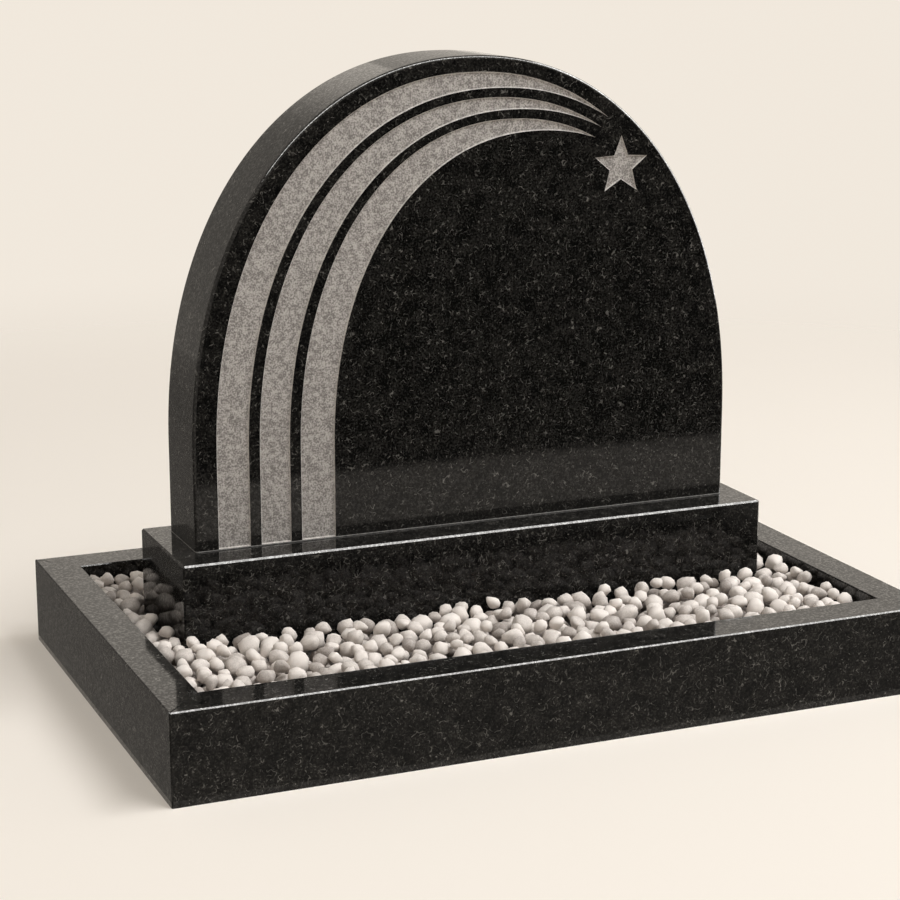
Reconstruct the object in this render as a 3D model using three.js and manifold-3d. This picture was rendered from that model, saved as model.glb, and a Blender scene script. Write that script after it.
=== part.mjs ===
// Headstone with swept bands and a star, on a base block inside a kerb frame filled with pebbles.
// Millimetres, +Z up. X runs along the front, Y from front to back. The origin is on the ground
// under the middle of the kerb frame.

import * as THREE from "three";
import { mergeVertices } from "three/addons/utils/BufferGeometryUtils.js";
import Module from "manifold-3d";

// Headstone
const stoneWidth = 678;
const stoneThickness = 102;
const stoneHeight = 547;
const springHeight = 107;
const archExponent = 2.15;
const beddingJoint = 0.3;

// Base block, which shows a ledge round the headstone
const baseHeight = 178;
const frontLedge = 46;
const backLedge = 24;
const sideLedge = 28.5;

// Strips of pebbles between the base and the kerb frame
const frontStrip = 196;
const backStrip = 124;
const sideStrip = 43.5;

// Kerb frame: four lengths laid on the ground and mitred at the corners
const kerbHeight = 103;
const endKerbWidth = 50;
const sideKerbWidth = 46;
const kerbJoint = 0.3;

// Eased edges of every granite piece
const arris = 2;

// Three bands blasted into the face, outermost first. Foot sizes are measured along the bottom edge
// and crown sizes down the highest part of the arch.
const bandSideMargin = 27.5;
const bandCrownMargin = 18.5;
const bands = [
  { footWidth: 38, crownWidth: 19, footGap: 13, crownGap: 10.5 },
  { footWidth: 36, crownWidth: 14.5, footGap: 13, crownGap: 10.5 },
  { footWidth: 41, crownWidth: 15, footGap: 0, crownGap: 0 },
];
const blastDepth = 2;

// The bands' pointed tips, measured from the right side and the top of the stone
const tipFromSide = 165;
const tipFromTop = 76;
const tipStepIn = 8;
const tipStepDown = 11.5;

// Star in the bands' path
const starFromSide = 147.5;
const starFromTop = 133.5;
const starRadius = 36;
const starWaist = 15.6;
const starPoints = 5;

// Pebble bed
const pebbleSpacing = 30;
const pebbleFreeboard = 2;
const pebbleRelief = 11;
const pebbleShoulder = 3.5;
const pebbleUnevenness = 4;
const bedClearance = 0.3;

// Shares of a pebble: how far it may stray from its place, and how wide its top is
const pebbleStray = 0.22;
const pebbleRim = 0.62;

// Smoothness of the curves
const archSteps = 60;
const bandSteps = 30;

// How far a cut runs past the face that it opens, and how near two corners are to be one corner
const overrun = 5;
const sameCorner = 1e-4;

// Overall sizes, worked outwards from the headstone
const baseLength = stoneWidth + 2 * sideLedge;
const baseDepth = frontLedge + stoneThickness + backLedge;
const kerbLength = baseLength + 2 * (sideStrip + sideKerbWidth);
const kerbDepth = baseDepth + frontStrip + backStrip + 2 * endKerbWidth;

// Heights and faces that the pieces share
const stoneBottom = baseHeight + beddingJoint;
const stoneTop = baseHeight + stoneHeight;
const springLevel = baseHeight + springHeight;
const baseFront = endKerbWidth + frontStrip - kerbDepth / 2;
const baseMiddle = baseFront + baseDepth / 2;
const stoneFace = baseFront + frontLedge;

const wasm = await Module();
wasm.setup();

// Turns a closed geometry into a solid that can be joined and cut
function solidOf(geometry) {
  const bare = geometry.clone();
  bare.deleteAttribute("normal");
  bare.deleteAttribute("uv");
  const merged = mergeVertices(bare, sameCorner);
  return new wasm.Manifold(new wasm.Mesh({
    numProp: 3,
    vertProperties: new Float32Array(merged.attributes.position.array),
    triVerts: new Uint32Array(merged.index.array),
  }));
}

// Turns a solid back into a geometry
function geometryOf(solid) {
  const mesh = solid.getMesh();
  const geometry = new THREE.BufferGeometry();
  geometry.setAttribute("position", new THREE.BufferAttribute(new Float32Array(mesh.vertProperties), 3));
  geometry.setIndex(new THREE.BufferAttribute(new Uint32Array(mesh.triVerts), 1));
  const faceted = geometry.toNonIndexed();
  faceted.computeVertexNormals();
  return faceted;
}

// A box from its lowest and highest corners
function blockBetween(low, high) {
  const geometry = new THREE.BoxGeometry(high[0] - low[0], high[1] - low[1], high[2] - low[2]);
  geometry.translate((low[0] + high[0]) / 2, (low[1] + high[1]) / 2, (low[2] + high[2]) / 2);
  return geometry;
}

// The part of a solid above a level
function sawnOffAt(level, solid) {
  const reach = kerbLength;
  const waste = solidOf(blockBetween([-reach, -reach, level - reach], [reach, reach, level]));
  return solid.subtract(waste);
}

// An outline in X and Z pushed back along Y from its front plane, with eased edges where asked
function slab(outline, front, thickness, ease) {
  const geometry = new THREE.ExtrudeGeometry(new THREE.Shape(outline), {
    depth: thickness - 2 * ease,
    bevelEnabled: ease > 0,
    bevelThickness: ease,
    bevelSize: ease,
    bevelOffset: -ease,
    bevelSegments: 1,
  });
  geometry.rotateX(Math.PI / 2);
  geometry.translate(0, front + thickness - ease, 0);
  return geometry;
}

// A point on a superellipse, with its turn measured from the right-hand springing
function superellipsePoint(centreX, radius, rise, turn) {
  const power = 2 / archExponent;
  const across = Math.cos(turn);
  const up = Math.abs(Math.sin(turn));
  const x = centreX + radius * Math.sign(across) * Math.pow(Math.abs(across), power);
  const z = springLevel + rise * Math.pow(up, power);
  return new THREE.Vector2(x, z);
}

// Outline of the tablet: upright sides to the springing, then the arch. It starts below the base's
// top, so that the underside is sawn square and has no eased edge.
function tabletOutline() {
  const side = stoneWidth / 2;
  const sawing = baseHeight - overrun;
  const points = [new THREE.Vector2(-side, sawing), new THREE.Vector2(side, sawing)];
  for (let step = 0; step <= archSteps; step += 1) {
    const turn = (Math.PI * step) / archSteps;
    points.push(superellipsePoint(0, side, stoneTop - springLevel, turn));
  }
  return points;
}

// One edge of a band, from its foot over the crown to the tip. The superellipse's width follows from
// the foot, the crown and the tip that it passes through.
function bandEdge(footX, crownZ, tip) {
  const rise = crownZ - springLevel;
  const tipLift = (tip.y - springLevel) / rise;
  const tipReach = Math.pow(1 - Math.pow(tipLift, archExponent), 1 / archExponent);
  const radius = (tip.x - footX) / (1 + tipReach);
  const tipTurn = Math.acos(Math.pow(tipReach, archExponent / 2));
  const points = [new THREE.Vector2(footX, baseHeight - overrun)];
  for (let step = 0; step < bandSteps; step += 1) {
    const turn = Math.PI + ((tipTurn - Math.PI) * step) / bandSteps;
    points.push(superellipsePoint(footX + radius, radius, rise, turn));
  }
  return points;
}

// Outline of each band, outermost first
function bandOutlines() {
  const outlines = [];
  let footX = bandSideMargin - stoneWidth / 2;
  let crownZ = stoneTop - bandCrownMargin;
  bands.forEach((band, index) => {
    const tip = new THREE.Vector2(
      stoneWidth / 2 - tipFromSide - index * tipStepIn,
      stoneTop - tipFromTop - index * tipStepDown,
    );
    const outer = bandEdge(footX, crownZ, tip);
    const inner = bandEdge(footX + band.footWidth, crownZ - band.crownWidth, tip);
    outlines.push([...outer, tip, ...inner.reverse()]);
    footX += band.footWidth + band.footGap;
    crownZ -= band.crownWidth + band.crownGap;
  });
  return outlines;
}

// Outline of the star, one point upwards
function starOutline() {
  const centreX = stoneWidth / 2 - starFromSide;
  const centreZ = stoneTop - starFromTop;
  const points = [];
  for (let corner = 0; corner < 2 * starPoints; corner += 1) {
    const radius = corner % 2 === 0 ? starRadius : starWaist;
    const turn = Math.PI / 2 + (Math.PI * corner) / starPoints;
    points.push(new THREE.Vector2(centreX + radius * Math.cos(turn), centreZ + radius * Math.sin(turn)));
  }
  return points;
}

// Arch-topped tablet with the bands and the star sunk into its face
function headstoneGeometry() {
  const tablet = solidOf(slab(tabletOutline(), stoneFace, stoneThickness, arris));
  let carved = sawnOffAt(stoneBottom, tablet);
  for (const outline of [...bandOutlines(), starOutline()]) {
    const cut = slab(outline, stoneFace - overrun, overrun + blastDepth, 0);
    carved = carved.subtract(solidOf(cut));
  }
  return geometryOf(carved);
}

// Base block with eased top and upright edges, sawn square underneath
function baseGeometry() {
  const x = baseLength / 2;
  const y = baseDepth / 2;
  const plan = new THREE.Shape();
  plan.moveTo(arris - x, -y);
  plan.lineTo(x - arris, -y);
  plan.lineTo(x, arris - y);
  plan.lineTo(x, y - arris);
  plan.lineTo(x - arris, y);
  plan.lineTo(arris - x, y);
  plan.lineTo(-x, y - arris);
  plan.lineTo(-x, arris - y);
  const block = new THREE.ExtrudeGeometry(plan, {
    depth: baseHeight + overrun - arris,
    bevelEnabled: true,
    bevelThickness: arris,
    bevelSize: arris,
    bevelOffset: -arris,
    bevelSegments: 1,
  });
  block.translate(0, baseMiddle, -overrun);
  return geometryOf(sawnOffAt(0, solidOf(block)));
}

// One kerb length with its outer face on Y = 0, running along X. Both top edges are eased, and the
// ends are cut back to meet a neighbour of the given width.
function kerbGeometry(length, width, neighbourWidth) {
  const section = new THREE.Shape();
  section.moveTo(0, 0);
  section.lineTo(width, 0);
  section.lineTo(width, kerbHeight - arris);
  section.lineTo(width - arris, kerbHeight);
  section.lineTo(arris, kerbHeight);
  section.lineTo(0, kerbHeight - arris);
  const geometry = new THREE.ExtrudeGeometry(section, { depth: 1, bevelEnabled: false });
  const position = geometry.attributes.position;
  for (let index = 0; index < position.count; index += 1) {
    const across = position.getX(index);
    const up = position.getY(index);
    const end = position.getZ(index) > 0.5 ? 1 : -1;
    const cutBack = (across * neighbourWidth) / width + kerbJoint / Math.SQRT2;
    position.setXYZ(index, end * (length / 2 - cutBack), across, up);
  }
  geometry.computeVertexNormals();
  return geometry;
}

// A repeatable scatter between -0.5 and 0.5 for a place in the bed
function scatter(column, row, salt) {
  const wave = Math.sin(column * 12.9898 + row * 78.233 + salt * 37.719) * 43758.5453;
  return wave - Math.floor(wave) - 0.5;
}

// Pebbles side by side on a jittered staggered grid: each is a six-sided dome, and neighbours meet
// in the hollows between them. The sheet is wider than the bed and is closed below.
function pebbleSheetGeometry() {
  const rowStep = (pebbleSpacing * Math.sqrt(3)) / 2;
  const columns = Math.ceil(kerbLength / 2 / pebbleSpacing) + 1;
  const rows = Math.ceil(kerbDepth / 2 / rowStep) + 1;
  const crest = kerbHeight - pebbleFreeboard;
  const vertices = [];
  const triangles = [];

  const place = (point, height) => {
    vertices.push(point.x, point.y, height);
    return { point, index: vertices.length / 3 - 1 };
  };

  const middleOf = (column, row) => new THREE.Vector2(
    (column + (Math.abs(row) % 2) / 2 + pebbleStray * scatter(column, row, 1)) * pebbleSpacing,
    row * rowStep + pebbleStray * scatter(column, row, 2) * pebbleSpacing,
  );

  // A hollow lies in the middle of three neighbouring pebbles, which share it
  const hollows = new Map();
  const hollowBetween = (three) => {
    const key = three.map((cell) => cell.join(" ")).sort().join(", ");
    if (!hollows.has(key)) {
      const middle = new THREE.Vector2();
      three.forEach((cell) => middle.add(middleOf(...cell)));
      hollows.set(key, place(middle.divideScalar(3), crest - pebbleRelief));
    }
    return hollows.get(key);
  };

  const addPebble = (column, row) => {
    const shift = Math.abs(row) % 2;
    const around = [
      [column + 1, row], [column + shift, row + 1], [column + shift - 1, row + 1],
      [column - 1, row], [column + shift - 1, row - 1], [column + shift, row - 1],
    ];
    const middle = middleOf(column, row);
    const top = crest - pebbleUnevenness * (0.5 - scatter(column, row, 3));
    const hollow = around.map((cell, side) => hollowBetween([[column, row], cell, around[(side + 1) % 6]]));
    const rim = hollow.map((corner, side) => place(
      middle.clone().lerp(corner.point, pebbleRim),
      top - pebbleShoulder * (0.5 + scatter(6 * column + side, row, 4)),
    ));
    for (let side = 0; side < 6; side += 1) {
      const next = (side + 1) % 6;
      triangles.push(hollow[side].index, hollow[next].index, rim[next].index);
      triangles.push(hollow[side].index, rim[next].index, rim[side].index);
    }
    for (const [a, b, c] of [[0, 1, 2], [2, 3, 4], [4, 5, 0], [0, 2, 4]]) {
      triangles.push(rim[a].index, rim[b].index, rim[c].index);
    }
  };

  for (let row = -rows; row <= rows; row += 1) {
    for (let column = -columns; column <= columns; column += 1) {
      addPebble(column, row);
    }
  }
  return closedBelow(vertices, triangles);
}

// Gives an open sheet a flat floor under the ground and walls down its rim
function closedBelow(vertices, triangles) {
  const count = vertices.length / 3;
  const faces = [...triangles];
  for (let index = 0; index < count; index += 1) {
    vertices.push(vertices[3 * index], vertices[3 * index + 1], -overrun);
  }
  const edges = new Set();
  for (let face = 0; face < triangles.length; face += 3) {
    const [a, b, c] = triangles.slice(face, face + 3);
    faces.push(a + count, c + count, b + count);
    edges.add(`${a} ${b}`);
    edges.add(`${b} ${c}`);
    edges.add(`${c} ${a}`);
  }
  for (const edge of edges) {
    const [a, b] = edge.split(" ").map(Number);
    if (!edges.has(`${b} ${a}`)) {
      faces.push(b, a, a + count, b, a + count, b + count);
    }
  }
  const geometry = new THREE.BufferGeometry();
  geometry.setAttribute("position", new THREE.BufferAttribute(new Float32Array(vertices), 3));
  geometry.setIndex(faces);
  return geometry;
}

// The bed fills the frame from the ground up and leaves room for the base
function pebbleBedGeometry() {
  const inX = kerbLength / 2 - sideKerbWidth - bedClearance;
  const inY = kerbDepth / 2 - endKerbWidth - bedClearance;
  const baseX = baseLength / 2 + bedClearance;
  const baseY = baseDepth / 2 + bedClearance;
  const inside = solidOf(blockBetween([-inX, -inY, 0], [inX, inY, kerbHeight]));
  const room = solidOf(blockBetween(
    [-baseX, baseMiddle - baseY, -overrun],
    [baseX, baseMiddle + baseY, kerbHeight + overrun],
  ));
  const sheet = solidOf(pebbleSheetGeometry());
  return geometryOf(sheet.intersect(inside.subtract(room)));
}

const polishedGranite = () => new THREE.MeshStandardMaterial({
  color: 0x1c1b19,
  roughness: 0.12,
  metalness: 0,
});
const pebbleStone = () => new THREE.MeshStandardMaterial({
  color: 0xcdc3bc,
  roughness: 0.85,
  metalness: 0,
});

function piece(name, geometry, material) {
  const mesh = new THREE.Mesh(geometry, material);
  mesh.name = name;
  return mesh;
}

const memorial = new THREE.Group();
memorial.add(piece("headstone", headstoneGeometry(), polishedGranite()));
memorial.add(piece("base", baseGeometry(), polishedGranite()));

const kerbs = [
  { name: "kerb_front", length: kerbLength, width: endKerbWidth, next: sideKerbWidth, quarter: 0 },
  { name: "kerb_right", length: kerbDepth, width: sideKerbWidth, next: endKerbWidth, quarter: 1 },
  { name: "kerb_back", length: kerbLength, width: endKerbWidth, next: sideKerbWidth, quarter: 2 },
  { name: "kerb_left", length: kerbDepth, width: sideKerbWidth, next: endKerbWidth, quarter: 3 },
];
for (const kerb of kerbs) {
  const mesh = piece(kerb.name, kerbGeometry(kerb.length, kerb.width, kerb.next), polishedGranite());
  const turn = (kerb.quarter * Math.PI) / 2;
  const away = kerb.quarter % 2 === 0 ? kerbDepth / 2 : kerbLength / 2;
  mesh.rotation.z = turn;
  mesh.position.set(away * Math.sin(turn), -away * Math.cos(turn), 0);
  memorial.add(mesh);
}

memorial.add(piece("pebble_bed", pebbleBedGeometry(), pebbleStone()));

export default memorial;
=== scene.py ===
import math
import random

import bpy
from mathutils import Euler, Matrix, Vector


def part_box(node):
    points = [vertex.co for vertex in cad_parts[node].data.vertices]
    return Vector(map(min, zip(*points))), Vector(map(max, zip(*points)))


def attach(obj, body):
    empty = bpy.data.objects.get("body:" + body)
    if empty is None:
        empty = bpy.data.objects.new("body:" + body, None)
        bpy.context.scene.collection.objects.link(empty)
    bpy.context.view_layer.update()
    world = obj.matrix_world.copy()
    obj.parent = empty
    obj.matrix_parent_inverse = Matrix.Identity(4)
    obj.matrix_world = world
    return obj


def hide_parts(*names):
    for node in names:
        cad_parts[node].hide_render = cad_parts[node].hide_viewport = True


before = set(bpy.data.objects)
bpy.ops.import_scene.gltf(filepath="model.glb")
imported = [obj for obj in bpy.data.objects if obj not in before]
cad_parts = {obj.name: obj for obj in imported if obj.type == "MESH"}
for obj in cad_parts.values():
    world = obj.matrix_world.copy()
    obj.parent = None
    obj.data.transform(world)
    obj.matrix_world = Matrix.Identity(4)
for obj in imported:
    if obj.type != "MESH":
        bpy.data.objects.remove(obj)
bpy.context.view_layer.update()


# Where it stands: a pale floor that fades into a plain surround, under one softbox, seen from the front
# left and a little above. Glowing cards that only mirroring rays see paint the reflections: they keep
# the fronts dark and the tops and left sides grey, and paint the bright highlights along the edges.
camera_place = (-1.03912, -2.38978, 0.89938)
camera_azimuth = -22.99
camera_elevation = 13.68
camera_lens = 90.99
surround_colour = (0.88, 0.81, 0.72)
surround_on_matt = 0.5
floor_reach = 3.0
floor_whole = 1.3
floor_colour = (0.75, 0.71, 0.66)
floor_glow = 0.2
softbox_place = Vector((2.28, -2.00, 5.36))
softbox_aim = Vector((0, 0, 0.2))
softbox_size = (4.8, 1.6)
softbox_power = 275
black = (0, 0, 0)
daylight = (1.0, 0.98, 0.95)
card_lift = 0.0015
card_fade_from = 0.36
card_fade_to = 0.47

bpy.ops.object.select_all(action="DESELECT")
bpy.ops.object.camera_add(
    location=camera_place,
    rotation=(math.radians(90 - camera_elevation), 0, math.radians(camera_azimuth)),
)
camera = bpy.context.object
camera.data.sensor_fit = "HORIZONTAL"
camera.data.sensor_width = 36
camera.data.lens = camera_lens
bpy.context.scene.camera = camera
bpy.context.scene.view_settings.view_transform = "Standard"

bpy.ops.object.light_add(
    type="AREA",
    location=softbox_place,
    rotation=(softbox_aim - softbox_place).to_track_quat("-Z", "Y").to_euler(),
)
bpy.context.object.visible_glossy = False
softbox = bpy.context.object.data
softbox.shape = "RECTANGLE"
softbox.size, softbox.size_y = softbox_size
softbox.energy = softbox_power


class Shade:
    """A value in a node tree. Arithmetic on it adds Math nodes, and node() adds any other node."""

    def __init__(self, tree, socket=None):
        self.tree = tree
        self.socket = socket

    def node(self, kind, settings=None, inputs=None, output=0):
        made = self.tree.nodes.new(kind)
        for name, value in (settings or {}).items():
            setattr(made, name, value)
        for name, value in (inputs or {}).items():
            socket = made.inputs[name]
            if isinstance(value, Shade):
                self.tree.links.new(value.socket, socket)
            elif socket.type == "RGBA":
                socket.default_value = (*value, 1)
            else:
                socket.default_value = value
        return Shade(self.tree, made.outputs[output] if made.outputs else None)

    def out(self, name):
        """Another output of the same node."""
        return Shade(self.tree, self.socket.node.outputs[name])

    def maths(self, operation, first, second):
        return self.node("ShaderNodeMath", {"operation": operation}, {0: first, 1: second})

    def vector(self, operation, second=(0, 0, 0), output=0):
        return self.node("ShaderNodeVectorMath", {"operation": operation}, {0: self, 1: second}, output)

    def at_least(self, other):
        """This value, or the other one where that is higher."""
        return self.maths("MAXIMUM", self, other)

    def rise(self, low, high):
        """0 up to low, 1 from high on, and smooth between them."""
        settings = {"interpolation_type": "SMOOTHSTEP"}
        return self.node("ShaderNodeMapRange", settings, {"Value": self, "From Min": low, "From Max": high})

    def blend(self, first, second):
        """The colour first where this value is 0, and second where it is 1."""
        return self.node("ShaderNodeMix", {"data_type": "RGBA"}, {0: self, 6: first, 7: second}, 2)

    def __add__(self, other):
        return self.maths("ADD", self, other)

    __radd__ = __add__

    def __sub__(self, other):
        return self.maths("SUBTRACT", self, other)

    def __rsub__(self, other):
        return self.maths("SUBTRACT", other, self)

    def __mul__(self, other):
        return self.maths("MULTIPLY", self, other)

    __rmul__ = __mul__


def new_finish(name):
    """A material with an empty node tree, and the Object coordinates in it."""
    material = bpy.data.materials.new(name)
    material.use_nodes = True
    material.node_tree.nodes.clear()
    return material, Shade(material.node_tree).node("ShaderNodeTexCoord", output="Object")


def lay_on(place, kind, inputs):
    """Ends a material with a shader of that kind."""
    shader = place.node(kind, inputs=inputs)
    place.node("ShaderNodeOutputMaterial", inputs={"Surface": shader})


surround = bpy.data.worlds.new("surround")
bpy.context.scene.world = surround
surround.use_nodes = True
surround.node_tree.nodes.clear()
ray = Shade(surround.node_tree).node("ShaderNodeLightPath")
seen = ray.out("Is Camera Ray").at_least(ray.out("Is Glossy Ray"))
brightness = surround_on_matt + (1 - surround_on_matt) * seen
backdrop = ray.node("ShaderNodeBackground", inputs={"Color": surround_colour, "Strength": brightness})
ray.node("ShaderNodeOutputWorld", inputs={"Surface": backdrop})

floor_paint, place = new_finish("floor_paint")
fading = place.vector("LENGTH", output="Value").rise(floor_whole, floor_reach)
painted = place.node(
    "ShaderNodeBsdfPrincipled",
    inputs={
        "Base Color": floor_colour,
        "Roughness": 1.0,
        "Specular IOR Level": 0.0,
        "Emission Color": surround_colour,
        "Emission Strength": floor_glow,
    },
)
clear = place.node("ShaderNodeBsdfTransparent")
lay_on(place, "ShaderNodeMixShader", {0: fading, 1: painted, 2: clear})
bpy.ops.mesh.primitive_circle_add(vertices=96, radius=floor_reach, fill_type="NGON")
floor = bpy.context.object
floor.name = "floor"
floor.data.materials.append(floor_paint)


def hang_card(name, turn, location, size, colour, strength, gain_at_right=0.0):
    """A glowing card that only mirroring rays see. Towards its right end its strength may change."""
    finish, place = new_finish(name)
    sideways = place.node("ShaderNodeSeparateXYZ", inputs={0: place}, output="X")
    at_right = sideways.rise(card_fade_from, card_fade_to)
    lay_on(place, "ShaderNodeEmission", {"Color": colour, "Strength": strength + gain_at_right * at_right})
    bpy.ops.mesh.primitive_plane_add(size=1, location=location, rotation=turn)
    card = bpy.context.object
    card.name = name
    card.scale = (*size, 1)
    card.data.materials.append(finish)
    card.visible_camera = False
    card.visible_diffuse = False
    card.visible_transmission = False
    card.visible_shadow = False


lying = (0, 0, 0)
facing_front = (math.radians(90), 0, 0)
facing_left = (math.radians(90), 0, math.radians(-90))
hang_card(
    "black_card", lying, location=(19.65, -20.94, card_lift), size=(40.0, 40.0),
    colour=black, strength=0.0,
)
hang_card(
    "front_card", lying, location=(0.1, -0.475, card_lift), size=(3.0, 0.33),
    colour=surround_colour, strength=0.45,
)
# Dimmer towards its right end by the left kerb: a painted reflection of the shade on the floor there.
hang_card(
    "grey_card", lying, location=(-5.46, 1.85, card_lift), size=(10.0, 4.3),
    colour=surround_colour, strength=0.34, gain_at_right=-0.12,
)
hang_card(
    "grey_wall", facing_front, location=(-4.55, 4.0, 2.5), size=(11.0, 5.0),
    colour=surround_colour, strength=0.42, gain_at_right=0.58,
)
hang_card(
    "crown_card", facing_front, location=(1.6, 4.0, 1.95), size=(1.15, 2.2),
    colour=surround_colour, strength=0.60,
)
hang_card(
    "bright_card", lying, location=(-0.4, -1.25, 2.9), size=(4.6, 1.30),
    colour=daylight, strength=24,
)
hang_card(
    "side_card", lying, location=(4.95, -0.4, 2.9), size=(6.1, 3.0),
    colour=daylight, strength=24,
)
hang_card(
    "right_card", facing_left, location=(6.0, -0.6, 1.8), size=(4.4, 3.5),
    colour=daylight, strength=16,
)


# Kerb frame: four lengths of polished black granite on the ground, mitred at the corners and butted
# tight. Each is sawn from slab, its long top edges are eased to a flat arris, and its sharp outer
# corners are just taken off.
arris = 0.002
corner_ease = 0.0012
hair = 1e-5
granite_black = (0.0030, 0.0031, 0.0031)
granite_grey = (0.0330, 0.0315, 0.0285)
crystal_grey = (0.172, 0.166, 0.155)
crystal_dimmest = 0.25
crystal_bend = 0.004
mid_noise = (0.5, 0.5, 0.5)


def take_alone(piece):
    """Makes a piece the only one selected, and the active one."""
    bpy.ops.object.select_all(action="DESELECT")
    piece.select_set(True)
    bpy.context.view_layer.objects.active = piece


def block_between(name, low, high):
    """A cube primitive with the given lowest and highest corners, its size and place in its mesh."""
    bpy.ops.object.select_all(action="DESELECT")
    bpy.ops.mesh.primitive_cube_add(size=1, location=(low + high) / 2)
    block = bpy.context.object
    block.name = name
    block.scale = high - low
    bpy.ops.object.transform_apply(location=True, rotation=True, scale=True)
    return block


def select_edges(piece, wanted):
    """Goes into edit mode and selects the edges whose two ends pass together."""
    bpy.ops.object.mode_set(mode="EDIT")
    bpy.ops.mesh.select_mode(type="EDGE")
    bpy.ops.mesh.select_all(action="DESELECT")
    bpy.ops.object.mode_set(mode="OBJECT")
    corners = piece.data.vertices
    for edge in piece.data.edges:
        edge.select = wanted(*(corners[index].co for index in edge.vertices))
    bpy.ops.object.mode_set(mode="EDIT")


def saw(point, waste_side):
    """Saws the piece in edit mode through a point, and takes away what lies on the waste side."""
    bpy.ops.mesh.select_all(action="SELECT")
    bpy.ops.mesh.bisect(plane_co=point, plane_no=waste_side, use_fill=True, clear_outer=True)


def grain(place, size, detail=1.0):
    """Even noise with features of about that size."""
    return place.node("ShaderNodeTexNoise", inputs={"Vector": place, "Scale": 1 / size, "Detail": detail})


def crystals(place, spacing, half_length, half_width, share):
    """Pale crystals in the black: in a share of the cells of that spacing, one short rod, each turned
    its own way and of its own brightness."""
    cell = place.node("ShaderNodeTexVoronoi", inputs={"Vector": place, "Scale": 1 / spacing})
    centre = cell.out("Position")
    offset = place.vector("SUBTRACT", centre)
    turn = cell.out("Color").vector("SUBTRACT", mid_noise).vector("NORMALIZE")
    along = offset.vector("DOT_PRODUCT", turn, "Value")
    whole = offset.vector("DOT_PRODUCT", offset, "Value")
    length_part = along * along
    reach = length_part * half_length**-2 + (whole - length_part) * half_width**-2
    chance = centre.node("ShaderNodeTexWhiteNoise", inputs={"Vector": centre})
    chosen = chance.maths("LESS_THAN", chance, share)
    shine = crystal_dimmest + chance * ((1 - crystal_dimmest) / share)
    return (1 - reach.rise(0.3, 1.3)) * chosen * shine


def threads(place, shift, winding, width, share):
    """Short curved pale threads. They follow where even noise crosses its middle value, and other
    noise breaks them up."""
    shifted = place.vector("ADD", shift)
    level = grain(shifted, winding)
    off_line = level.maths("ABSOLUTE", level - 0.5, 0.0)
    unbroken = grain(shifted, 0.9 * winding, detail=2.0).rise(1 - share, 1.08 - share)
    return (1 - off_line.rise(0.3 * width, width)) * unbroken


granite, place = new_finish("polished_black_granite")
wander = grain(place, 0.005).out("Color").vector("SUBTRACT", mid_noise)
bent = place.vector("ADD", wander.vector("MULTIPLY", (crystal_bend, crystal_bend, crystal_bend)))
rods = 0.85 * crystals(bent, spacing=0.0070, half_length=0.0028, half_width=0.00065, share=0.30)
dots = 1.4 * crystals(place, spacing=0.0060, half_length=0.0007, half_width=0.00060, share=0.22)
fine_threads = 0.50 * threads(place, shift=(0.3, 0.1, 0.7), winding=0.0056, width=0.042, share=0.42)
long_threads = 0.80 * threads(place, shift=(0.9, 0.5, 0.2), winding=0.0092, width=0.024, share=0.46)
cloud = grain(place, 0.016, detail=3.0).rise(0.25, 0.70)
mottle = grain(place, 0.0023, detail=2.0).rise(0.45, 0.72)
greyness = 0.2 * cloud + 0.8 * mottle * (0.3 + 0.7 * cloud)
pale = fine_threads.at_least(long_threads) * (0.35 + 0.65 * cloud)
for marks in (rods, dots):
    pale = pale.at_least(marks)
sheen = pale.at_least(grain(place, 0.0030, detail=2.0).rise(0.46, 0.66))
granite_values = {
    "Base Color": pale.blend(greyness.blend(granite_black, granite_grey), crystal_grey),
    "Roughness": 0.05 + 0.16 * mottle,
    "IOR": 1.30,
    "Coat IOR": 1.35,
    "Coat Roughness": 0.05,
    "Coat Weight": 0.7 * sheen,
}
lay_on(place, "ShaderNodeBsdfPrincipled", granite_values)


def finish_stone(piece, node):
    """Polishes a finished stone, which stands for its CAD node and goes with the memorial."""
    take_alone(piece)
    bpy.ops.object.shade_smooth_by_angle(angle=math.radians(25))
    true_flats = piece.modifiers.new("true_flats", "WEIGHTED_NORMAL")
    true_flats.keep_sharp = True
    bpy.ops.object.modifier_apply(modifier=true_flats.name)
    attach(piece, "root")
    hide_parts(node)


def lay_kerb(side, along, outwards, neighbour):
    """One kerb length, which runs along axis 0 or 1 with its outer face in the outwards direction of
    the other axis, between two neighbours like the one named."""
    low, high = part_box(f"kerb_{side}")
    neighbour_low, neighbour_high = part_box(f"kerb_{neighbour}")
    across = 1 - along
    width = high[across] - low[across]
    neighbour_width = neighbour_high[along] - neighbour_low[along]
    outer_face = high[across] if outwards > 0 else low[across]
    kerb = block_between(f"{side}_kerb", low, high)
    kerb.data.materials.append(granite)
    top = high.z - hair
    select_edges(kerb, lambda a, b: min(a.z, b.z) > top and abs(a[along] - b[along]) > width)
    bpy.ops.mesh.bevel(offset=arris, offset_type="WIDTH", segments=1, affect="EDGES")
    for end in (-1, 1):
        tip, mitre, ease = Vector(), Vector(), Vector()
        tip[along] = high[along] if end > 0 else low[along]
        tip[across] = outer_face
        mitre[along] = end * width
        mitre[across] = -outwards * neighbour_width
        ease[along] = end
        ease[across] = outwards
        saw(tip, mitre)
        saw(tip - ease * corner_ease / 2, ease)
    bpy.ops.object.mode_set(mode="OBJECT")
    finish_stone(kerb, f"kerb_{side}")


lay_kerb("front", along=0, outwards=-1, neighbour="left")
lay_kerb("right", along=1, outwards=1, neighbour="front")
lay_kerb("back", along=0, outwards=1, neighbour="left")
lay_kerb("left", along=1, outwards=-1, neighbour="front")


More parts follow.
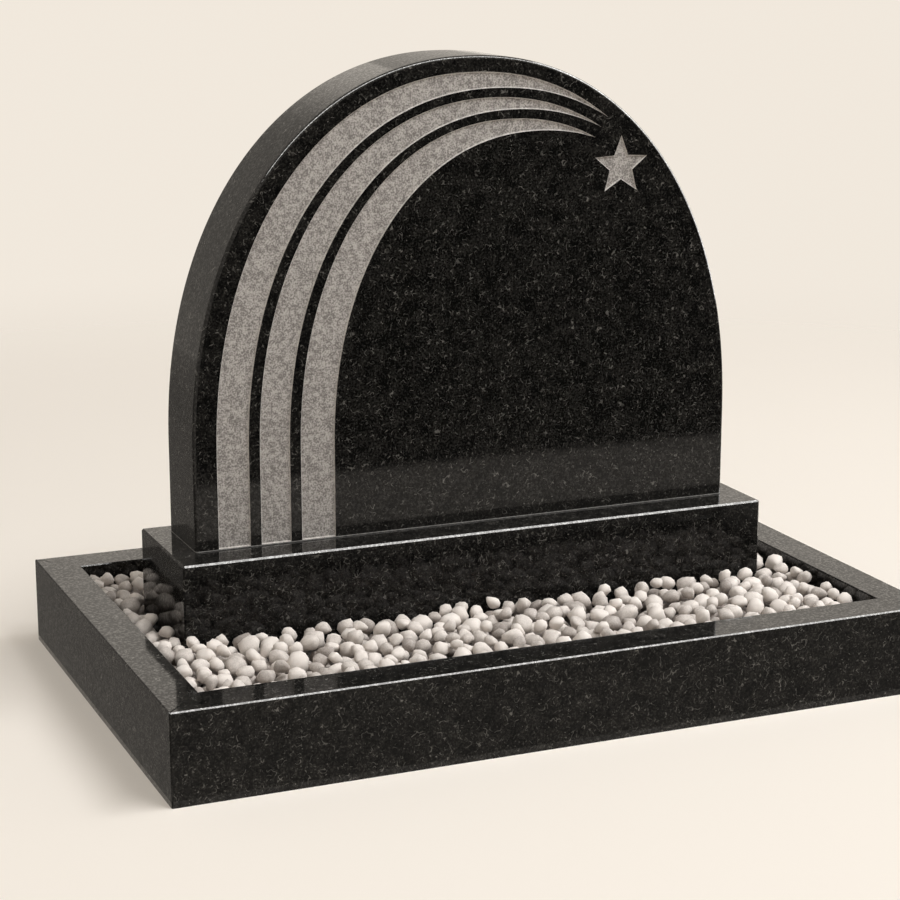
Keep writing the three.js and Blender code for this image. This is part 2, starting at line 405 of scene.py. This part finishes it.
# Base: one block of the same granite, which carries the headstone. Its top and upright edges are
# eased flat as well, and its underside is sawn square.
base_low, base_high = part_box("base")
base = block_between("base_block", base_low, base_high)
base.data.materials.append(granite)
select_edges(base, lambda a, b: max(a.z, b.z) > base_low.z + hair)
bpy.ops.mesh.bevel(offset=arris, segments=1, affect="EDGES")
bpy.ops.object.mode_set(mode="OBJECT")
finish_stone(base, "base")


# Headstone: an arch-topped tablet of the same granite, polished all over and bedded on the base with
# grey jointing mastic, which shows as a fine line along its foot. Three bands and a star are blasted
# into its face through a cut stencil, to a pale rough floor with sloping sides.
stone_low, stone_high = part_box("headstone")
stone_face = stone_low.y
half_width = stone_high.x
spring_height = 0.107
spring_level = base_high.z + spring_height
arch_exponent = 2.15
arch_steps = 144
overrun = 0.005
round_arris = 0.004
mastic_line = 0.0011
mastic_dark = (0.150, 0.147, 0.142)
mastic_light = (0.250, 0.245, 0.237)


def arch_point(centre_x, radius, rise, turn):
    """A point of an arch in the plane of the face, at a turn from its right-hand springing."""
    across, up = math.cos(turn), abs(math.sin(turn))
    power = 2 / arch_exponent
    reach = radius * math.copysign(abs(across) ** power, across)
    return Vector((centre_x + reach, stone_face, spring_level + rise * up**power))


# The upper half of a circle is drawn out to the arch. Its two ends go down past the foot, and the
# closed outline is filled and given its thickness.
bpy.ops.object.select_all(action="DESELECT")
bpy.ops.mesh.primitive_circle_add(
    vertices=2 * arch_steps,
    radius=half_width,
    location=(0, stone_face, spring_level),
    rotation=(math.radians(90), 0, 0),
)
headstone = bpy.context.object
headstone.name = "tablet"
bpy.ops.object.transform_apply(location=True, rotation=True, scale=True)
headstone.data.materials.append(granite)
bpy.ops.object.mode_set(mode="EDIT")
bpy.ops.mesh.select_mode(type="VERT")
bpy.ops.mesh.select_all(action="DESELECT")
bpy.ops.object.mode_set(mode="OBJECT")
for corner in headstone.data.vertices:
    corner.select = corner.co.z < spring_level - hair
bpy.ops.object.mode_set(mode="EDIT")
bpy.ops.mesh.delete(type="VERT")
bpy.ops.object.mode_set(mode="OBJECT")
for corner in headstone.data.vertices:
    turn = math.atan2(corner.co.z - spring_level, corner.co.x)
    corner.co = arch_point(0, half_width, stone_high.z - spring_level, turn)
    corner.select = corner.co.z < spring_level + hair
bpy.ops.object.mode_set(mode="EDIT")
feet = stone_low.z - overrun - spring_level
bpy.ops.mesh.extrude_vertices_move(TRANSFORM_OT_translate={"value": (0, 0, feet)})
bpy.ops.mesh.edge_face_add()
bpy.ops.mesh.select_all(action="SELECT")
bpy.ops.mesh.edge_face_add()
bpy.ops.mesh.select_all(action="SELECT")
thickness = stone_high.y - stone_low.y
bpy.ops.mesh.extrude_region_move(TRANSFORM_OT_translate={"value": (0, thickness, 0)})
bpy.ops.mesh.select_all(action="SELECT")
bpy.ops.mesh.normals_make_consistent(inside=False)
select_edges(headstone, lambda a, b: abs(a.y - b.y) < hair and max(a.z, b.z) > stone_low.z)
bpy.ops.mesh.bevel(offset=round_arris, segments=4, affect="EDGES", clamp_overlap=False)
saw(Vector((0, 0, stone_low.z)), Vector((0, 0, -1)))
mastic_top = stone_low.z + mastic_line
bpy.ops.mesh.select_all(action="SELECT")
bpy.ops.mesh.bisect(plane_co=(0, 0, mastic_top), plane_no=(0, 0, 1))
bpy.ops.object.mode_set(mode="OBJECT")

grey_mastic, place = new_finish("grey_mastic")
dust = grain(place, 0.004, detail=2.0).rise(0.35, 0.65)
mastic_values = {"Base Color": dust.blend(mastic_dark, mastic_light), "Roughness": 0.7}
lay_on(place, "ShaderNodeBsdfPrincipled", mastic_values)
headstone.data.materials.append(grey_mastic)
for face in headstone.data.polygons:
    upright = abs(face.normal.z) < 0.5
    if upright and face.center.z < mastic_top:
        face.material_index = 1


# Blasted floor of the bands and the star: matt, grey and grainy, where the blast has broken up the
# dark crystals. Its sloping sides are painted paler than the floor, a painted highlight along the edges.
def blasted(name, low, high):
    """A grainy matt finish between two colours."""
    finish, place = new_finish(name)
    bite = grain(place, 0.0021, detail=3.0)
    patch = grain(place, 0.0062, detail=2.0)
    tone = (0.66 * bite + 0.34 * patch).rise(0.38, 0.63)
    bumps = {"Strength": 0.35, "Distance": 0.0005, "Height": bite}
    values = {
        "Base Color": tone.blend(low, high),
        "Roughness": 0.85,
        "Specular IOR Level": 0.25,
        "Normal": place.node("ShaderNodeBump", inputs=bumps),
    }
    lay_on(place, "ShaderNodeBsdfPrincipled", values)
    return finish


blasted_floor = blasted("blasted_granite", low=(0.170, 0.157, 0.148), high=(0.480, 0.455, 0.434))
# The sloping sides are painted paler than the floor: a painted highlight along the edges.
paler_sides_painted_highlight = blasted("blasted_sides_painted_highlight", low=(0.340, 0.322, 0.305), high=(0.560, 0.532, 0.505))
blast_depth = 0.002
lip_depth = 0.0002
side_run = 0.0012
foot_lip = 0.0012
foot_steps = 2
band_steps = 72
band_rows = 4
band_side_margin = 0.0275
band_crown_margin = 0.0185
band_foot_widths = (0.038, 0.036, 0.041)
band_crown_widths = (0.019, 0.0145, 0.015)
band_foot_gap = 0.013
band_crown_gap = 0.0105
tip_from_side = 0.165
tip_from_top = 0.076
tip_step_in = 0.008
tip_step_down = 0.0115
star_points = 5
star_radius = 0.036
star_waist = 0.0156
star_from_side = 0.1475
star_from_top = 0.1335


def take_out(piece, waste):
    """Cuts the shape of the waste out of a piece, and clears the waste away."""
    take_alone(piece)
    cut = piece.modifiers.new("cut", "BOOLEAN")
    cut.operation = "DIFFERENCE"
    cut.solver = "EXACT"
    cut.material_mode = "TRANSFER"
    cut.object = waste
    bpy.ops.object.modifier_apply(modifier=cut.name)
    bpy.data.objects.remove(waste)


def blast(stencil):
    """Closes a sunk sheet towards the front and takes it out of the headstone's face."""
    take_alone(stencil)
    bpy.ops.object.mode_set(mode="EDIT")
    bpy.ops.mesh.select_mode(type="EDGE")
    bpy.ops.mesh.select_all(action="SELECT")
    bpy.ops.mesh.remove_doubles(threshold=2 * hair)
    bpy.ops.mesh.select_all(action="DESELECT")
    bpy.ops.mesh.select_non_manifold()
    bpy.ops.mesh.extrude_edges_move(TRANSFORM_OT_translate={"value": (0, -overrun, 0)})
    bpy.ops.mesh.edge_face_add()
    bpy.ops.mesh.select_all(action="SELECT")
    bpy.ops.mesh.normals_make_consistent(inside=False)
    bpy.ops.object.mode_set(mode="OBJECT")
    stencil.data.materials.append(blasted_floor)
    stencil.data.materials.append(paler_sides_painted_highlight)
    for face in stencil.data.polygons:
        flat_floor = face.normal.y > 0.95
        face.material_index = 0 if flat_floor else 1
    take_out(headstone, stencil)


def band_edge(foot_x, crown_z, tip, step):
    """A point on a band's edge: up from its foot, over the crown and down to the tip. The arch's
    width follows from the foot, the crown and the tip that it passes through."""
    if step < foot_steps:
        return Vector((foot_x, stone_face, stone_low.z + foot_lip + step * side_run))
    rise = crown_z - spring_level
    tip_lift = (tip.z - spring_level) / rise
    tip_reach = (1 - tip_lift**arch_exponent) ** (1 / arch_exponent)
    radius = (tip.x - foot_x) / (1 + tip_reach)
    tip_turn = math.acos(tip_reach ** (arch_exponent / 2))
    turn = math.pi + (tip_turn - math.pi) * (step - foot_steps) / (band_steps - foot_steps)
    return arch_point(foot_x + radius, radius, rise, turn)


def band_stencil(foot_x, foot_width, crown_z, crown_width, tip):
    """A grid bent to a band's outline. Its outermost rows lie just under the face and the rest on the
    blasted floor, which rises where the band runs out to its tip."""
    bpy.ops.object.select_all(action="DESELECT")
    bpy.ops.mesh.primitive_grid_add(x_subdivisions=band_steps, y_subdivisions=band_rows, size=1)
    stencil = bpy.context.object
    for corner in stencil.data.vertices:
        step = round((corner.co.x + 0.5) * band_steps)
        row = round((corner.co.y + 0.5) * band_rows)
        outer = band_edge(foot_x, crown_z, tip, step)
        inner = band_edge(foot_x + foot_width, crown_z - crown_width, tip, step)
        width = (inner - outer).length
        run = min(side_run, width / 3)
        sunk = lip_depth + (blast_depth - lip_depth) * run / side_run
        from_outer = (0, run, width / 2, width - run, width)[row]
        corner.co = outer.lerp(inner, from_outer / max(width, hair))
        corner.co.y = stone_face + (lip_depth if row in (0, band_rows) or step == 0 else sunk)
    return stencil


foot_x = band_side_margin - half_width
crown_z = stone_high.z - band_crown_margin
for index, (foot_width, crown_width) in enumerate(zip(band_foot_widths, band_crown_widths)):
    tip_x = half_width - tip_from_side - index * tip_step_in
    tip_z = stone_high.z - tip_from_top - index * tip_step_down
    blast(band_stencil(foot_x, foot_width, crown_z, crown_width, Vector((tip_x, stone_face, tip_z))))
    foot_x += foot_width + band_foot_gap
    crown_z -= crown_width + band_crown_gap

star_place = Vector((half_width - star_from_side, stone_face + lip_depth, stone_high.z - star_from_top))
bpy.ops.object.select_all(action="DESELECT")
bpy.ops.mesh.primitive_circle_add(
    vertices=2 * star_points,
    radius=star_radius,
    fill_type="NGON",
    location=star_place,
    rotation=(math.radians(90), 0, 0),
)
star = bpy.context.object
bpy.ops.object.transform_apply(location=True, rotation=True, scale=True)
for corner in star.data.vertices:
    out = corner.co - star_place
    spoke = round(math.atan2(out.x, out.z) / (math.pi / star_points))
    if spoke % 2:
        corner.co = star_place + out * star_waist / star_radius
bpy.ops.object.mode_set(mode="EDIT")
bpy.ops.mesh.select_all(action="SELECT")
bpy.ops.mesh.inset(thickness=side_run, depth=lip_depth - blast_depth)
bpy.ops.object.mode_set(mode="OBJECT")
blast(star)
finish_stone(headstone, "headstone")


# Pebbles: off-white washed stones about 18 to 32 mm long, rounded but still chipped. They are tipped
# in over a dark fill and levelled about with the kerbs. The fill's dark colour and the darkening of
# the stones' lower parts are painted shade in the gaps between them.
bed_low, bed_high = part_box("pebble_bed")
fill_top = 0.064
base_joint = 0.0003
overcut = 0.01
pebble_shapes = 10
out_of_round = 0.18
facets = 6
facet_levels = (0.60, 0.85)
facet_wear = 0.9
pebble_lengths = (1.05, 1.25)
pebble_heights = (0.80, 0.96)
pebble_small = 0.0086
pebble_large = 0.0136
lean_to_small = 1.3
tilt_spread = 0.45
crest_low = 0.0960
crest_high = 0.1045
rise_on_fill = 0.6
rise_to_top = 0.85
closeness = 0.96
tone_spread = (2.8, 1.6)
# Painted shade darkens the stones below this level, fully a depth further down.
painted_shade_top = 0.086
painted_shade_depth = 0.018
painted_shade_strength = 1.1
tries_for_a_place = 34
misses_allowed = 260
cell = 2 * pebble_large
dice = random.Random(7)

pebble_stone, place = new_finish("white_pebble")
tone = place.node("ShaderNodeAttribute", {"attribute_name": "tone"}, output="Fac")
specks = grain(place, 0.0013, detail=3.0)
veins = grain(place, 0.0075, detail=2.0)
# The tone holds each stone's own tone less the painted shade on its lower parts.
light = (0.50 * tone + 0.22 * veins + 0.28 * specks).rise(0.16, 0.72)
pebble_bumps = {"Strength": 0.3, "Distance": 0.0006, "Height": specks}
pebble_values = {
    "Base Color": light.blend((0.22, 0.185, 0.162), (0.78, 0.725, 0.680)),
    "Roughness": 0.75,
    "Specular IOR Level": 0.3,
    "Normal": place.node("ShaderNodeBump", inputs=pebble_bumps),
}
lay_on(place, "ShaderNodeBsdfPrincipled", pebble_values)

fill_painted_shade, place = new_finish("fill_painted_shade")
lumps = grain(place, 0.006, detail=3.0)
fill_bumps = {"Strength": 1.0, "Distance": 0.003, "Height": lumps}
fill_values = {
    # Nearly black: painted shade for the gaps between the pebbles.
    "Base Color": lumps.rise(0.3, 0.7).blend((0.020, 0.016, 0.013), (0.085, 0.068, 0.055)),
    "Roughness": 0.9,
    "Normal": place.node("ShaderNodeBump", inputs=fill_bumps),
}
lay_on(place, "ShaderNodeBsdfPrincipled", fill_values)

fill = block_between("dark_fill", bed_low, Vector((bed_high.x, bed_high.y, fill_top)))
fill.data.materials.append(fill_painted_shade)
gap = Vector((base_joint, base_joint, overcut))
room = block_between("room_for_base", base_low - gap, Vector((base_high.x, base_high.y, fill_top)) + gap)
room.data.materials.append(fill_painted_shade)
take_out(fill, room)


def pebble_shape(number):
    """A small ball pressed out of round, with a few worn facets."""
    bpy.ops.object.select_all(action="DESELECT")
    bpy.ops.mesh.primitive_ico_sphere_add(subdivisions=2, radius=1)
    shape = bpy.context.object
    bpy.ops.object.mode_set(mode="EDIT")
    bpy.ops.transform.vertex_random(offset=out_of_round, seed=number + 1)
    bpy.ops.object.mode_set(mode="OBJECT")
    for facet in range(facets):
        facing = Vector([dice.gauss(0, 1) for axis in range(3)]).normalized()
        level = dice.uniform(*facet_levels)
        for corner in shape.data.vertices:
            proud = corner.co.dot(facing) - level
            if proud > 0:
                corner.co -= facing * proud * facet_wear
    bpy.ops.object.mode_set(mode="EDIT")
    bpy.ops.transform.resize(value=(dice.uniform(*pebble_lengths), 1.0, dice.uniform(*pebble_heights)))
    bpy.ops.object.mode_set(mode="OBJECT")
    bpy.ops.object.shade_smooth()
    return shape


laid = {}


def resting_level(x, y, radius):
    """How high the middle of a stone of that radius comes to rest at a place."""
    level = fill_top + rise_on_fill * radius
    column, row = math.floor(x / cell), math.floor(y / cell)
    for near_column in (column - 1, column, column + 1):
        for near_row in (row - 1, row, row + 1):
            for stone_x, stone_y, stone_z, stone_radius in laid.get((near_column, near_row), ()):
                reach = (radius + stone_radius) * closeness
                rest = reach * reach - (x - stone_x) ** 2 - (y - stone_y) ** 2
                if rest > 0:
                    level = max(level, stone_z + math.sqrt(rest))
    return level


def clear_of_granite(x, y, radius):
    """Whether a ball of that radius lies inside the kerbs and outside the base."""
    inside = abs(x) < bed_high.x - radius and abs(y) < bed_high.y - radius
    beside = abs(x) > base_high.x + radius
    return inside and (beside or y < base_low.y - radius or y > base_high.y + radius)


def place_to_rest(radius):
    """The lowest of some free places for a stone of that radius."""
    best = None
    tries = 0
    while tries < tries_for_a_place:
        x = dice.uniform(bed_low.x, bed_high.x)
        y = dice.uniform(bed_low.y, bed_high.y)
        if clear_of_granite(x, y, radius):
            tries += 1
            level = resting_level(x, y, radius)
            if best is None or level < best[2]:
                best = (x, y, level)
    return best


def painted_shade(level):
    """How much painted shade darkens a stone at a level, more the lower it lies towards the fill."""
    return painted_shade_strength * min(max((painted_shade_top - level) / painted_shade_depth, 0), 1)


# Stones of all sizes go in first, and once half the misses are used up only small ones.
shapes = [pebble_shape(number) for number in range(pebble_shapes)]
stones = []
misses = 0
while misses < misses_allowed:
    radius = pebble_small + (pebble_large - pebble_small) * dice.random() ** lean_to_small
    if misses > misses_allowed / 2:
        radius = pebble_small
    x, y, level = place_to_rest(radius)
    crest = dice.uniform(crest_low, crest_high)
    if level + rise_to_top * radius > crest:
        misses += 1
        continue
    laid.setdefault((math.floor(x / cell), math.floor(y / cell)), []).append((x, y, level, radius))
    shape = dice.choice(shapes)
    mesh = shape.data.copy()
    tilt = Euler((dice.gauss(0, tilt_spread), dice.gauss(0, tilt_spread), dice.uniform(0, math.tau)))
    mesh.transform(Matrix.LocRotScale(Vector((x, y, level)), tilt, Vector((radius, radius, radius))))
    own_tone = dice.betavariate(*tone_spread)
    # Each stone's own tone, less painted shade on its lower parts.
    tones_with_painted_shade = [own_tone - painted_shade(corner.co.z) for corner in mesh.vertices]
    mesh.attributes.new("tone", "FLOAT", "POINT").data.foreach_set("value", tones_with_painted_shade)
    stone = bpy.data.objects.new("stone", mesh)
    bpy.context.collection.objects.link(stone)
    stones.append(stone)

bpy.ops.object.select_all(action="DESELECT")
for stone in stones:
    stone.select_set(True)
bpy.context.view_layer.objects.active = stones[0]
bpy.ops.object.join()
pebbles = bpy.context.object
pebbles.name = "pebbles"
pebbles.data.materials.append(pebble_stone)
fill.select_set(True)
bpy.ops.object.join()
for shape in shapes:
    bpy.data.objects.remove(shape)
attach(pebbles, "root")
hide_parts("pebble_bed")
